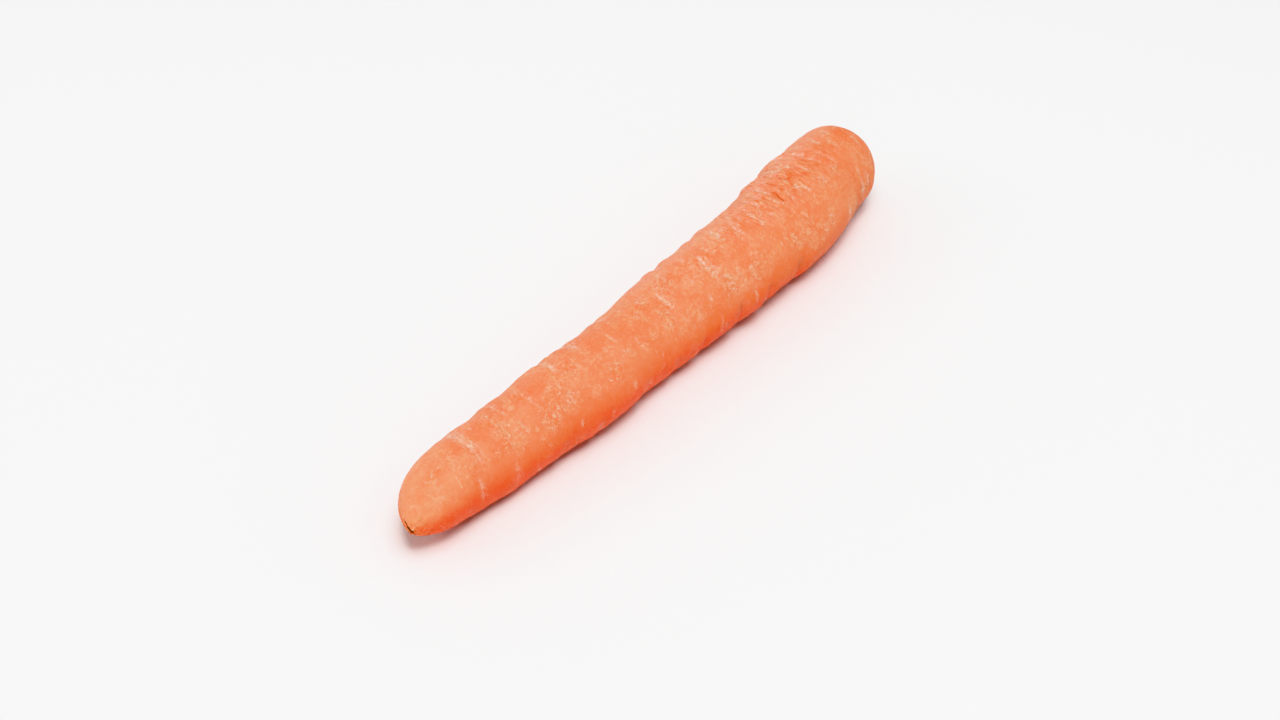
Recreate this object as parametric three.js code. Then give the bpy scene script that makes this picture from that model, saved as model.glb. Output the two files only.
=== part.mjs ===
// A carrot: one whole root of the blunt, nearly cylindrical kind, washed and trimmed of its leaves,
// lying on its side. Millimetres, +Z up. The root tip points along -X and the leaf crown along +X.
// The origin is on the surface it rests on, under the middle of its outer box.
// A place on the skin is given by how far along the root it is from the tip, and how far around:
// 0 degrees faces +Y, 90 is the top, 180 faces -Y and 270 is the underside.
import * as THREE from 'three';

// Driving dimensions
const LENGTH = 190;
// Sideways bow of the centreline and radius of the root, at even steps from the tip to the crown
const STATIONS = [
  [0.0, 17.0], [3.4, 12.7], [2.3, 11.0], [0.6, 11.7], [-1.6, 12.05], [-1.5, 11.95],
  [-2.1, 12.8], [-3.5, 13.15], [-3.9, 13.5], [-3.6, 14.3], [-1.0, 13.3], [0.0, 11.65],
];
// The two rounded ends: how far each reaches along the root, and how square-shouldered it is
const TIP = { depth: 40, flare: 2.2, fill: 1.5 };
const CROWN = { depth: 12, flare: 2.6, fill: 1.9 };
// The tip droops, by this share of its radius, over this reach
const DROOP = { share: 0.35, reach: 40 };
// The underside arches a little between three low spots, which are worn flat where it rests
const REST = { first: 35, spacing: 60, arch: 0.8, flat: 0.3, halfAngle: 40 };
// Low swellings all over the root
const SWELLS = [
  { height: 0.13, length: 31, lobes: 2 },
  { height: 0.09, length: -13.5, lobes: 3 },
];
// The skin is smooth this close to the middle of each end
const SMOOTH_END = 6;

// Crosswise furrows, where fine side roots grew: [along, from, to, depth], with from and to in degrees
const FURROW_WIDTH = 1.5;
const LIP = { height: 0.35, offset: 1.9 };
const FURROWS = [
  [24.5, 38, 188, 0.45], [33.5, 150, 196, 0.3], [39.5, 40, 122, 0.35], [47.0, 58, 138, 0.25],
  [50.5, 182, 216, 0.35], [58.5, 30, 86, 0.4], [63.0, 186, 220, 0.4], [68.2, 30, 78, 0.45],
  [70.0, 116, 152, 0.3], [80.0, 178, 214, 0.35], [82.3, 28, 64, 0.4], [92.0, 184, 216, 0.35],
  [97.3, 86, 124, 0.35], [103.0, 184, 220, 0.45], [106.8, 24, 56, 0.5], [113.6, 88, 138, 0.4],
  [117.8, 168, 218, 0.55], [122.3, 24, 52, 0.4], [124.6, 62, 108, 0.4], [128.6, 176, 216, 0.5],
  [137.5, 66, 106, 0.3], [142.2, 178, 216, 0.45], [146.2, 30, 108, 0.45], [152.8, 42, 86, 0.5],
  [158.0, 30, 84, 0.25], [163.0, 162, 196, 0.3], [174.0, 150, 184, 0.25],
];
// More of the same on the sides that face down and to +Y
const HIDDEN_FURROWS = {
  seed: 11, count: 20, first: 16, last: 172, scatter: 0.7,
  from: 222, to: 390, span: [28, 72], depth: [0.25, 0.5],
};

// The leaf scar in the crown: a shallow dish with rings of cut leaf bases, and stubs about a bud
const LEAF_SCAR = { radius: 5.4, depth: 1.5, ringPitch: 1.9, ringHeight: 0.28 };
const STUBS = { count: 6, ring: 3.1, radius: 1.15, height: 1.5 };
const BUD = { radius: 1.2, height: 1.9 };
// The torn end of the tail root: a small pit with a ragged rim and what is left of the tail
const TAIL_SCAR = { radius: 2.3, depth: 0.7, rim: 0.35, rimWidth: 0.7, teeth: 5 };
const TAIL = { radius: 0.9, height: 1.3 };

// Mesh steps
const AROUND = 40;
const TIP_ROWS = { count: 8, share: 0.5 };
const CROWN_ROWS = { count: 12, share: 0.86 };
const BODY_ROWS = 112;

const SKIN = new THREE.MeshStandardMaterial({ color: 0xec7a42, roughness: 0.5, metalness: 0.0 });

const degrees = THREE.MathUtils.degToRad;
const bell = (x) => Math.exp(-x * x);
const plateau = (x) => Math.exp(-(x ** 4));

function seededRandom(seed) {
  let state = seed;
  return () => {
    state = (state * 1664525 + 1013904223) % 4294967296;
    return state / 4294967296;
  };
}

// A smooth curve through one column of the stations
function alongStations(column, along) {
  const last = STATIONS.length - 1;
  const step = Math.min(Math.max(along / LENGTH, 0), 1) * last;
  const i = Math.min(Math.floor(step), last - 1);
  const t = step - i;
  const value = (k) => STATIONS[k][column];
  const before = i > 0 ? value(i - 1) : 2 * value(0) - value(1);
  const after = i < last - 1 ? value(i + 2) : 2 * value(last) - value(last - 1);
  const a = 2 * value(i);
  const b = value(i + 1) - before;
  const c = 2 * before - 5 * value(i) + 4 * value(i + 1) - after;
  const d = 3 * value(i) - before - 3 * value(i + 1) + after;
  return 0.5 * (a + b * t + c * t * t + d * t * t * t);
}

// How wide a rounded end is at a depth from its pole, as a share of its full width, and the reverse
function domeShare(dome, depth) {
  if (depth >= dome.depth) return 1;
  return (1 - (1 - depth / dome.depth) ** dome.flare) ** (1 / dome.fill);
}

function domeDepth(dome, share) {
  return dome.depth * (1 - (1 - share ** dome.fill) ** (1 / dome.flare));
}

function rootRadius(along) {
  const ends = domeShare(TIP, along) * domeShare(CROWN, LENGTH - along);
  return alongStations(1, along) * ends;
}

function centreline(along) {
  const droop = DROOP.share * Math.max(0, 1 - along / DROOP.reach) ** 2;
  const turn = (2 * Math.PI * (along - REST.first)) / REST.spacing;
  const arch = REST.arch * (1 - Math.cos(turn)) / 2 - REST.flat;
  const height = alongStations(1, along) * (1 - droop) + arch;
  return new THREE.Vector3(along - LENGTH / 2, alongStations(0, along), height);
}

// Directions at a place on the centreline: along the root, sideways and upwards
function directionsAt(along) {
  const ahead = centreline(Math.min(along + 0.5, LENGTH));
  const behind = centreline(Math.max(along - 0.5, 0));
  const forward = ahead.sub(behind).normalize();
  const side = new THREE.Vector3(0, 0, 1).cross(forward).normalize();
  const up = forward.clone().cross(side);
  return { forward, side, up };
}

function hiddenFurrows() {
  const random = seededRandom(HIDDEN_FURROWS.seed);
  const between = (low, high) => low + (high - low) * random();
  const { count, first, last, scatter, from, to, span, depth } = HIDDEN_FURROWS;
  const furrows = [];
  for (let i = 0; i < count; i++) {
    const along = first + ((last - first) * (i + random() * scatter)) / count;
    const width = between(...span);
    const start = between(from, to - width);
    furrows.push([along, start, start + width, between(...depth)]);
  }
  return furrows;
}

const ALL_FURROWS = [...FURROWS, ...hiddenFurrows()];

// Signed distance between two directions around the root, in degrees
function turnBetween(a, b) {
  return ((a - b + 540) % 360) - 180;
}

// A furrow with a low lip on both sides, fading out towards its two ends
function furrowRelief([at, from, to, depth], along, around) {
  const ends = turnBetween(around, (from + to) / 2) / ((to - from) / 2);
  const across = (along - at) / FURROW_WIDTH;
  const lips = LIP.height * (bell(across - LIP.offset) + bell(across + LIP.offset));
  return depth * (lips - bell(across)) * plateau(ends);
}

function swellRelief({ height, length, lobes }, along, around) {
  return height * Math.sin((2 * Math.PI * along) / length + lobes * degrees(around));
}

// Everything that stands out from or sinks into the smooth root, faded out on the underside and
// towards the poles
function skinRelief(along, around, radius) {
  const underside = plateau(turnBetween(around, 270) / REST.halfAngle);
  const awayFromPoles = 1 - bell(radius / SMOOTH_END);
  let relief = 0;
  for (const swell of SWELLS) relief += swellRelief(swell, along, around);
  for (const furrow of ALL_FURROWS) relief += furrowRelief(furrow, along, around);
  return relief * (1 - underside) * awayFromPoles;
}

// Height of the leaf scar over the smooth crown, outwards along the root
function leafScar(radius, around) {
  const inside = plateau(radius / LEAF_SCAR.radius);
  const rings = LEAF_SCAR.ringHeight * Math.cos((2 * Math.PI * radius) / LEAF_SCAR.ringPitch);
  const bud = BUD.height * bell(radius / BUD.radius);
  let height = inside * (rings - LEAF_SCAR.depth) + bud;
  for (let i = 0; i < STUBS.count; i++) {
    const turn = degrees(around) - (2 * Math.PI * i) / STUBS.count;
    const away = Math.hypot(radius * Math.cos(turn) - STUBS.ring, radius * Math.sin(turn));
    height += STUBS.height * plateau(away / STUBS.radius);
  }
  return height;
}

// Height of the torn tail over the smooth tip, outwards along the root
function tailScar(radius, around) {
  const pit = TAIL_SCAR.depth * plateau(radius / TAIL_SCAR.radius);
  const ragged = 1 + Math.sin(TAIL_SCAR.teeth * degrees(around));
  const rim = TAIL_SCAR.rim * ragged * bell((radius - TAIL_SCAR.radius) / TAIL_SCAR.rimWidth);
  return rim - pit + TAIL.height * bell(radius / TAIL.radius);
}

function skinPoint(along, around) {
  const radius = rootRadius(along);
  const { forward, side, up } = directionsAt(along);
  const outwards = radius + skinRelief(along, around, radius);
  const lengthwise = along < LENGTH / 2 ? -tailScar(radius, around) : leafScar(radius, around);
  const point = centreline(along);
  point.addScaledVector(side, outwards * Math.cos(degrees(around)));
  point.addScaledVector(up, outwards * Math.sin(degrees(around)));
  point.addScaledVector(forward, lengthwise);
  point.z = Math.max(point.z, 0);
  return point;
}

// Places of the rows of points along the root, closer together near both poles
function rowPlaces() {
  const rows = [];
  for (let i = 1; i <= TIP_ROWS.count; i++) {
    rows.push(domeDepth(TIP, (TIP_ROWS.share * i) / TIP_ROWS.count));
  }
  const start = rows[rows.length - 1];
  const end = LENGTH - domeDepth(CROWN, CROWN_ROWS.share);
  for (let i = 1; i <= BODY_ROWS; i++) rows.push(start + ((end - start) * i) / BODY_ROWS);
  for (let i = CROWN_ROWS.count - 1; i >= 1; i--) {
    rows.push(LENGTH - domeDepth(CROWN, (CROWN_ROWS.share * i) / CROWN_ROWS.count));
  }
  return rows;
}

// One closed skin: a point at each pole, and rings of points between them
function rootGeometry() {
  const rows = rowPlaces();
  const points = [skinPoint(0, 0)];
  for (const along of rows) {
    for (let j = 0; j < AROUND; j++) points.push(skinPoint(along, (360 * j) / AROUND));
  }
  points.push(skinPoint(LENGTH, 0));

  const at = (row, j) => 1 + row * AROUND + (j % AROUND);
  const lastRow = rows.length - 1;
  const crown = points.length - 1;
  const faces = [];
  for (let j = 0; j < AROUND; j++) {
    faces.push(0, at(0, j + 1), at(0, j));
    for (let row = 0; row < lastRow; row++) {
      faces.push(at(row, j), at(row, j + 1), at(row + 1, j + 1));
      faces.push(at(row, j), at(row + 1, j + 1), at(row + 1, j));
    }
    faces.push(crown, at(lastRow, j), at(lastRow, j + 1));
  }

  const geometry = new THREE.BufferGeometry().setFromPoints(points);
  geometry.setIndex(faces);
  geometry.computeBoundingBox();
  const middle = geometry.boundingBox.getCenter(new THREE.Vector3());
  geometry.translate(-middle.x, -middle.y, 0);
  geometry.computeVertexNormals();
  return geometry;
}

const carrot = new THREE.Group();
const root = new THREE.Mesh(rootGeometry(), SKIN);
root.name = 'carrot';
carrot.add(root);

export default carrot;
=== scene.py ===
import math

import bpy
import numpy as np
from mathutils import Matrix, Vector


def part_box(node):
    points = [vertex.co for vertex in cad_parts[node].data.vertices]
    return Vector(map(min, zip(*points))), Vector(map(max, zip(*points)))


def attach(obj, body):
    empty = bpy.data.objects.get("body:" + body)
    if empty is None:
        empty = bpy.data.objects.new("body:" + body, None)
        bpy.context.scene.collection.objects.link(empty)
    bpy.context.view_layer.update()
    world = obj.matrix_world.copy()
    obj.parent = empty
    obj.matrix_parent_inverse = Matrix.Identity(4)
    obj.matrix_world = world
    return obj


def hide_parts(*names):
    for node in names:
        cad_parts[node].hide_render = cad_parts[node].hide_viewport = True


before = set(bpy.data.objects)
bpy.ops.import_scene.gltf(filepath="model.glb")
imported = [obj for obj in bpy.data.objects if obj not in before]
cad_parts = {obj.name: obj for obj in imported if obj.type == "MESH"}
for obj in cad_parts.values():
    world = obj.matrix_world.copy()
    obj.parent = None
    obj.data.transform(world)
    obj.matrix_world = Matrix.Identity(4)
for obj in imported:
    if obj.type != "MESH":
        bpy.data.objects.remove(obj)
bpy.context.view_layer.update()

# ------------------------------------------------------------------------------------------------
# The root's skin. A carrot is one swollen root, here a blunt, nearly cylindrical one that lies on
# its side, tail tip towards -X. Its skin is a tube rolled round a gently bowed centreline, closed
# at both ends, with crosswise furrows where fine side roots grew. Sizes are in millimetres.

MM = 0.001
LENGTH = 190.0
# Sideways bow of the centreline and radius of the root, at even steps from the tip to the crown
BOW = [0.0, 3.4, 2.3, 0.6, -1.6, -1.5, -2.1, -3.5, -3.9, -3.6, -1.0, 0.0]
RADIUS = [17.0, 12.7, 11.0, 11.7, 12.05, 11.95, 12.8, 13.15, 13.5, 14.3, 13.3, 11.65]
# Both ends round off in a dome: how far in it starts, how late it narrows and how full it is
TIP_DEPTH, TIP_FLARE, TIP_FILL = 40.0, 2.2, 1.5
CROWN_DEPTH, CROWN_FLARE, CROWN_FILL = 12.0, 2.6, 1.9
# The tip hangs lower than the rest: by a share of its radius, over the last stretch
DROOP_SHARE, DROOP_REACH = 0.35, 40.0
# It rests on low spots: place of the first, their spacing, height of the arches between them, and how
# deep they are pressed flat. Its underside is smooth this far to each side
REST_FIRST, REST_SPACING, REST_ARCH, REST_FLAT = 35.0, 60.0, 0.8, 0.3
UNDERSIDE = math.radians(40)
# Rows of points along the root, and points around it in each row
ROWS, SIDES = 498, 192

# Crosswise furrows: place along the root, from and to in degrees around (90 is the top, 180 faces
# -Y), depth, how corky and pale, how much of a dark crack runs in it, and width against a full one
FURROWS = [
    (24.8, 36, 124, 0.40, 1.00, 0.10, 1.00), (20.8, 142, 184, 0.35, 0.60, 0.15, 0.80),
    (33.5, 150, 196, 0.30, 0.30, 0.00, 1.00), (40.6, 34, 92, 0.35, 0.75, 0.10, 0.60),
    (47.8, 58, 118, 0.25, 0.45, 0.00, 0.60), (50.5, 182, 216, 0.35, 0.30, 0.30, 1.00),
    (58.8, 30, 88, 0.40, 0.85, 0.10, 0.80), (63.0, 186, 220, 0.40, 0.30, 0.40, 1.00),
    (68.2, 30, 74, 0.45, 0.95, 0.10, 0.90), (80.0, 178, 214, 0.35, 0.40, 0.30, 1.00),
    (82.3, 28, 64, 0.40, 0.80, 0.10, 0.80), (92.8, 184, 216, 0.50, 0.10, 0.50, 1.00),
    (98.0, 88, 122, 0.30, 1.00, 0.00, 0.75), (103.3, 184, 220, 0.60, 0.10, 0.55, 1.00),
    (107.4, 20, 54, 0.65, 0.30, 0.60, 1.00), (114.2, 86, 126, 0.40, 1.00, 0.15, 0.70),
    (118.2, 172, 218, 0.65, 0.10, 0.60, 1.00), (122.0, 20, 52, 0.50, 0.30, 0.50, 1.00),
    (124.5, 62, 94, 0.40, 1.00, 0.10, 0.80), (128.6, 176, 216, 0.60, 0.10, 0.60, 1.00),
    (129.2, 76, 108, 0.30, 0.90, 0.00, 0.50), (133.4, 58, 100, 0.28, 0.65, 0.10, 0.40),
    (137.4, 60, 110, 0.45, 0.75, 0.30, 0.45), (140.4, 54, 98, 0.28, 0.65, 0.05, 0.40),
    (142.2, 180, 216, 0.60, 0.10, 0.55, 1.00), (143.6, 36, 88, 0.30, 0.75, 0.10, 0.40),
    (146.4, 22, 106, 0.60, 0.90, 0.00, 0.50), (149.6, 26, 74, 0.32, 0.65, 0.05, 0.40),
    (153.3, 34, 86, 0.75, 0.80, 0.00, 0.55), (155.6, 42, 76, 0.25, 1.00, 0.00, 0.55),
    (158.8, 26, 92, 0.45, 0.90, 0.10, 0.45), (161.6, 30, 66, 0.25, 0.60, 0.00, 0.40),
    (164.8, 26, 88, 0.45, 0.85, 0.10, 0.45), (168.4, 40, 86, 0.25, 0.60, 0.00, 0.40),
    (147.0, 76, 110, 0.15, 0.0, 1.00, 0.60), (153.4, 54, 87, 0.15, 0.0, 1.00, 0.70),
    (172.4, 64, 86, 0.18, 0.80, 0.00, 0.60), (163.8, 160, 198, 0.30, 0.75, 0.10, 0.90),
    (174.6, 160, 198, 0.30, 0.95, 0.05, 0.70), (177.8, 150, 178, 0.20, 0.80, 0.00, 0.60),
]
# Swellings, broader than a furrow: along, from and to around, height, and width against a furrow's
SWELLINGS = [
    (40.0, 10, 56, 0.35, 2.5), (148.8, 14, 70, 0.30, 1.4), (161.6, 10, 78, 0.45, 2.4),
    (147.0, 176, 226, 0.35, 2.6), (110.5, 172, 222, 0.35, 2.8), (123.4, 172, 222, 0.35, 2.2),
]
# Knots of fine pale squiggles: along, from and to around, and their reach along the root
KNOTS = [
    (94.8, 104, 138, 1.8), (88.2, 86, 108, 1.5), (69.8, 116, 152, 1.8), (77.0, 112, 138, 1.6),
    (48.6, 134, 154, 1.4), (36.4, 92, 124, 1.8), (54.0, 94, 138, 4.5), (61.6, 86, 108, 2.4),
    (114.6, 88, 124, 1.2), (116.6, 126, 160, 2.2), (126.0, 134, 162, 2.4), (93.4, 76, 92, 1.5),
    (102.0, 76, 94, 2.0), (82.0, 74, 86, 1.4), (32.6, 124, 138, 3.5), (153.5, 152, 166, 2.2),
    (159.4, 112, 124, 1.6), (165.6, 114, 126, 2.0), (141.2, 138, 148, 1.2), (173.0, 168, 178, 1.2),
    (12.0, 84, 104, 3.0),
]
# More furrows on the sides that face down and away, drawn from ranges. The deeper one is, the
# corkier, on top of what they all have
HIDDEN_FURROWS = {"count": 20, "seed": 11, "along": (16, 172), "scatter": 0.7, "around": (222, 390),
                  "span": (28, 72), "depth": (0.25, 0.5), "cork": 0.15, "crack": 0.2}
# Fine wrinkles between the furrows, in zones: how many, along and around from and to, how deep
WRINKLES = [
    (30, (130, 172), (26, 110), 1.6), (12, (92, 130), (28, 140), 1.1), (10, (28, 92), (34, 150), 1.0),
    (16, (40, 182), (150, 216), 1.0), (8, (164, 184), (40, 150), 1.0), (30, (14, 180), (216, 386), 1.0),
    (5, (134.5, 140), (80, 102), 1.3), (4, (127.5, 131), (76, 100), 1.2), (5, (156.5, 160), (72, 92), 1.2),
    (4, (163, 166), (70, 96), 1.2), (4, (111, 116), (84, 106), 1.0), (4, (144.5, 148.5), (84, 106), 1.2),
]
WRINKLE_SEED, WRINKLE_SPAN, WRINKLE_DEPTH, WRINKLE_CORK = 5, (9, 34), (0.12, 0.30), (0.40, 0.95)
WRINKLE_SCALE = 0.36
# The skin puckers in a zone below the crown: its middle, its reach and the side it faces
PUCKERED_MIDDLE, PUCKERED_REACH, PUCKERED_SIDE = 149.0, 24.0, (0.0, 0.50, 0.866)
# Low waves in the skin: height, length along the root and number around it. A length below zero
# winds the other way
WAVES = [(0.13, 31.0, 2.0), (0.09, -13.5, 3.0)]
# The torn slit at the tail leans this far round the tip
TAIL_LEAN = math.radians(39)


class Nodes:
    """Writes a node tree: each call adds one node, wires or sets its inputs and gives its output."""

    def __init__(self, tree):
        self.tree = tree

    def feed(self, socket, value):
        if isinstance(value, bpy.types.NodeSocket):
            self.tree.links.new(value, socket)
        elif value is not None:
            socket.default_value = value

    def add(self, kind, *inputs, out=0, named=None, **settings):
        node = self.tree.nodes.new(kind)
        for name, value in settings.items():
            setattr(node, name, value)
        for socket, value in zip(node.inputs, inputs):
            self.feed(socket, value)
        for name, value in (named or {}).items():
            self.feed(node.inputs[name], value)
        return node.outputs[out]

    def math(self, operation, *values):
        return self.add("ShaderNodeMath", *values, operation=operation)

    def vector(self, operation, *values):
        if operation == "SCALE":
            return self.add("ShaderNodeVectorMath", values[0], operation=operation,
                            named={"Scale": values[1]})
        out = 1 if operation in ("LENGTH", "DOT_PRODUCT") else 0
        return self.add("ShaderNodeVectorMath", *values, operation=operation, out=out)

    def total(self, first, *others):
        for other in others:
            first = self.math("ADD", first, other)
        return first

    def minus(self, first, other):
        return self.math("SUBTRACT", first, other)

    def product(self, first, *others):
        for other in others:
            first = self.math("MULTIPLY", first, other)
        return first

    def over(self, first, other):
        return self.math("DIVIDE", first, other)

    def absolute(self, value):
        return self.math("ABSOLUTE", value)

    def bell(self, value):
        """One at zero, falling off smoothly to nothing at about two."""
        return self.math("EXPONENT", self.product(value, value, -1.0))

    def plateau(self, value):
        """Like a bell, with a flatter top and steeper sides."""
        square = self.math("MULTIPLY", value, value)
        return self.math("EXPONENT", self.product(square, square, -1.0))

    def rise(self, value, low, high, to_low=0.0, to_high=1.0):
        """A smooth step between two values as the input goes from low to high, whichever is larger."""
        return self.add("ShaderNodeMapRange", value, low, high, to_low, to_high,
                        interpolation_type="SMOOTHSTEP")

    def ramp(self, value, to_low, to_high):
        """A straight slope between two values as the input goes from 0 to 1."""
        return self.add("ShaderNodeMapRange", value, 0.0, 1.0, to_low, to_high)

    def noise(self, place, scale, detail=2.0, roughness=0.5, seed=0.0):
        return self.add("ShaderNodeTexNoise", noise_dimensions="4D", named={
            "Vector": place, "W": seed, "Scale": scale, "Detail": detail, "Roughness": roughness})

    def centred(self, place, scale, detail, roughness, seed):
        """Noise about zero."""
        return self.minus(self.noise(place, scale, detail, roughness, seed), 0.5)

    def random(self, low, high, seed):
        return self.add("FunctionNodeRandomValue", None, None, low, high, None, None, None, None, seed,
                        data_type="FLOAT", out=1)

    def attribute(self, name, data_type="FLOAT"):
        return self.add("GeometryNodeInputNamedAttribute", name, data_type=data_type)

    def store(self, geometry, name, value, data_type="FLOAT"):
        return self.add("GeometryNodeStoreNamedAttribute", geometry, None, name, value,
                        data_type=data_type, domain="POINT")

    def read(self, name, out="Fac"):
        """A value that the tree left on the mesh, for a material."""
        return self.add("ShaderNodeAttribute", attribute_name=name, attribute_type="GEOMETRY", out=out)

    def paint(self, under, share, over):
        """One colour laid over another by a share."""
        return self.add("ShaderNodeMix", share, None, None, None, None, None, under, over,
                        data_type="RGBA", out=2)

    def surface(self, looks):
        """Wires or sets a material's surface, by the names of its inputs."""
        for name, value in looks.items():
            self.feed(self.tree.nodes["Principled BSDF"].inputs[name], value)

    def circle(self, radius, turn):
        """Both measures of a point at a turn on a circle."""
        return [self.product(radius, self.math(wave, turn)) for wave in ("COSINE", "SINE")]


def shape_tree(name, sizes):
    """A Geometry Nodes tree with one geometry in and out, and a named input for each size."""
    tree = bpy.data.node_groups.new(name, "GeometryNodeTree")
    tree.interface.new_socket("Geometry", in_out="INPUT", socket_type="NodeSocketGeometry")
    for size, value in sizes.items():
        kind = {int: "Int", float: "Float"}.get(type(value), "Object")
        socket = tree.interface.new_socket(size, in_out="INPUT", socket_type="NodeSocket" + kind)
        if kind != "Object":
            socket.default_value = value
    tree.interface.new_socket("Geometry", in_out="OUTPUT", socket_type="NodeSocketGeometry")
    entry = tree.nodes.new("NodeGroupInput")
    return tree, Nodes(tree), entry.outputs


def finish_tree(nodes, geometry, material):
    """Ends a tree with real geometry in its material."""
    real = nodes.add("GeometryNodeRealizeInstances", geometry)
    painted = nodes.add("GeometryNodeSetMaterial", real, None, material)
    end = nodes.tree.nodes.new("NodeGroupOutput")
    nodes.feed(end.inputs[0], painted)


def placed(name, data):
    """A new object in the scene."""
    thing = bpy.data.objects.new(name, data)
    bpy.context.scene.collection.objects.link(thing)
    return thing


def grown(name, start_mesh, tree, sizes):
    """Grows a piece from its starting mesh by a tree, and makes the result a plain mesh."""
    seed = placed(name + "_start", start_mesh)
    modifier = seed.modifiers.new("Grow", "NODES")
    modifier.node_group = tree
    for item in tree.interface.items_tree:
        if item.in_out == "INPUT" and item.name in sizes:
            modifier[item.identifier] = sizes[item.name]
    bpy.context.view_layer.update()
    evaluated = seed.evaluated_get(bpy.context.evaluated_depsgraph_get())
    mesh = bpy.data.meshes.new_from_object(evaluated)
    mesh.name = name
    bpy.data.objects.remove(seed)
    return placed(name, mesh)


def points_mesh(name, points, **attributes):
    """Loose points that carry values by name, for a tree to read."""
    mesh = bpy.data.meshes.new(name)
    mesh.from_pydata([tuple(p) for p in points], [], [])
    for key, values in attributes.items():
        values = np.asarray(values, dtype=np.float32)
        kind, field = ("FLOAT_VECTOR", "vector") if values.ndim == 2 else ("FLOAT", "value")
        mesh.attributes.new(key, kind, "POINT").data.foreach_set(field, values.ravel())
    return mesh


def seeded_random(seed):
    """Draws between two values, the same ones on every run."""
    state = seed

    def draw(low=0.0, high=1.0):
        nonlocal state
        state = (state * 1664525 + 1013904223) % 4294967296
        return low + (high - low) * state / 4294967296

    return draw


def furrow(along, start, end, depth=0.0, cork=0.0, crack=0.0, scale=1.0, knot=0.0):
    """A row of values for one furrow. A swelling has a depth below zero, a knot of marks none."""
    return along, start, end, depth, cork, crack, scale, knot


def hidden_furrows(count, seed, along, scatter, around, span, depth, cork, crack):
    draw = seeded_random(seed)
    rows = []
    for i in range(count):
        place = along[0] + (along[1] - along[0]) * (i + draw() * scatter) / count
        width = draw(*span)
        start = draw(around[0], around[1] - width)
        deep = draw(*depth)
        rows.append(furrow(place, start, start + width, deep, cork + deep, crack))
    return rows


def wrinkles():
    draw = seeded_random(WRINKLE_SEED)
    rows = []
    for count, along, around, deeper in WRINKLES:
        for i in range(count):
            place = along[0] + (along[1] - along[0]) * (i + draw()) / count
            middle = draw(*around)
            half = draw(*WRINKLE_SPAN) / 2
            depth = deeper * draw(*WRINKLE_DEPTH)
            cork = draw(*WRINKLE_CORK)
            rows.append(furrow(place, middle - half, middle + half, depth, cork, scale=WRINKLE_SCALE))
    return rows


def smooth_curve(values, along):
    """A smooth curve through evenly stepped values."""
    v = np.asarray(values)
    last = len(v) - 1
    step = np.clip(along / LENGTH, 0, 1) * last
    i = np.minimum(step.astype(int), last - 1)
    t = step - i
    before = np.where(i > 0, v[np.maximum(i - 1, 0)], 2 * v[0] - v[1])
    after = np.where(i < last - 1, v[np.minimum(i + 2, last)], 2 * v[last] - v[last - 1])
    b = v[i + 1] - before
    c = 2 * before - 5 * v[i] + 4 * v[i + 1] - after
    d = 3 * v[i] - before - 3 * v[i + 1] + after
    return 0.5 * (2 * v[i] + b * t + c * t**2 + d * t**3)


def dome_share(depth, reach, flare, fill):
    """Share of the radius that is left at a depth inside a domed end."""
    inside = np.clip(1 - depth / reach, 0, 1)
    return (1 - inside**flare) ** (1 / fill)


def root_radius(along):
    """Radius of the root, with its two domed ends."""
    radius = smooth_curve(RADIUS, along)
    radius *= dome_share(along, TIP_DEPTH, TIP_FLARE, TIP_FILL)
    radius *= dome_share(LENGTH - along, CROWN_DEPTH, CROWN_FLARE, CROWN_FILL)
    return radius


def centreline(along):
    """Points of the centreline, bowed sideways, lower at the tip and at the resting spots."""
    droop = DROOP_SHARE * np.clip(1 - along / DROOP_REACH, 0, 1) ** 2
    turn = 2 * np.pi * (along - REST_FIRST) / REST_SPACING
    arch = REST_ARCH * (1 - np.cos(turn)) / 2 - REST_FLAT
    height = smooth_curve(RADIUS, along) * (1 - droop) + arch
    return np.stack([along - LENGTH / 2, smooth_curve(BOW, along), height], 1)


def row_places():
    """Places of the rows of points along the root, even in the middle and closer at both poles."""
    fine = np.linspace(0, 1, 20001) ** 2
    along = np.concatenate([fine * LENGTH / 2, LENGTH - fine[::-1][1:] * LENGTH / 2])
    near_pole = np.exp(-((np.minimum(along, LENGTH - along) / 3.0) ** 2))
    travel = np.hypot(np.diff(along), np.diff(root_radius(along))) * (1 + 0.9 * near_pole[1:])
    travel = np.concatenate([[0], np.cumsum(travel)])
    return np.interp(np.linspace(0, travel[-1], ROWS), travel, along)


def spine_mesh():
    """The centreline: a point for each row, with the radius and the three directions there."""
    along = row_places()
    forward = centreline(np.minimum(along + 0.5, LENGTH)) - centreline(np.maximum(along - 0.5, 0))
    forward /= np.linalg.norm(forward, axis=1, keepdims=True)
    side = np.cross([0.0, 0.0, 1.0], forward)
    side /= np.linalg.norm(side, axis=1, keepdims=True)
    up = np.cross(forward, side)
    centre = centreline(along)
    return points_mesh("spine", centre, along=along, radius=root_radius(along), centre=centre,
                       forward=forward, side=side, up=up)


def furrow_list():
    """Every furrow, swelling, knot and wrinkle as a point that carries its values."""
    rows = [furrow(*row) for row in FURROWS]
    for along, start, end, height, width in SWELLINGS:
        rows.append(furrow(along, start, end, -height, scale=width))
    for along, start, end, reach in KNOTS:
        rows.append(furrow(along, start, end, knot=reach))
    rows += hidden_furrows(**HIDDEN_FURROWS) + wrinkles()
    along, start, end, depth, cork, crack, scale, knot = np.array(rows).T
    mesh = points_mesh("furrow_points", [(i, 0, 0) for i in range(len(rows))], along=along,
                       middle=np.radians((start + end) / 2), half=np.radians((end - start) / 2),
                       depth=depth, cork=cork, crack=crack, scale=scale, knot=knot)
    return placed("furrow_points", mesh)


def puckered_zone(n, along, facing):
    """How far a point lies in the puckered zone, from its place and how much it faces that side."""
    return n.product(n.bell(n.over(n.minus(along, PUCKERED_MIDDLE), PUCKERED_REACH)),
                     n.rise(facing, 0.35, 0.85))


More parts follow.
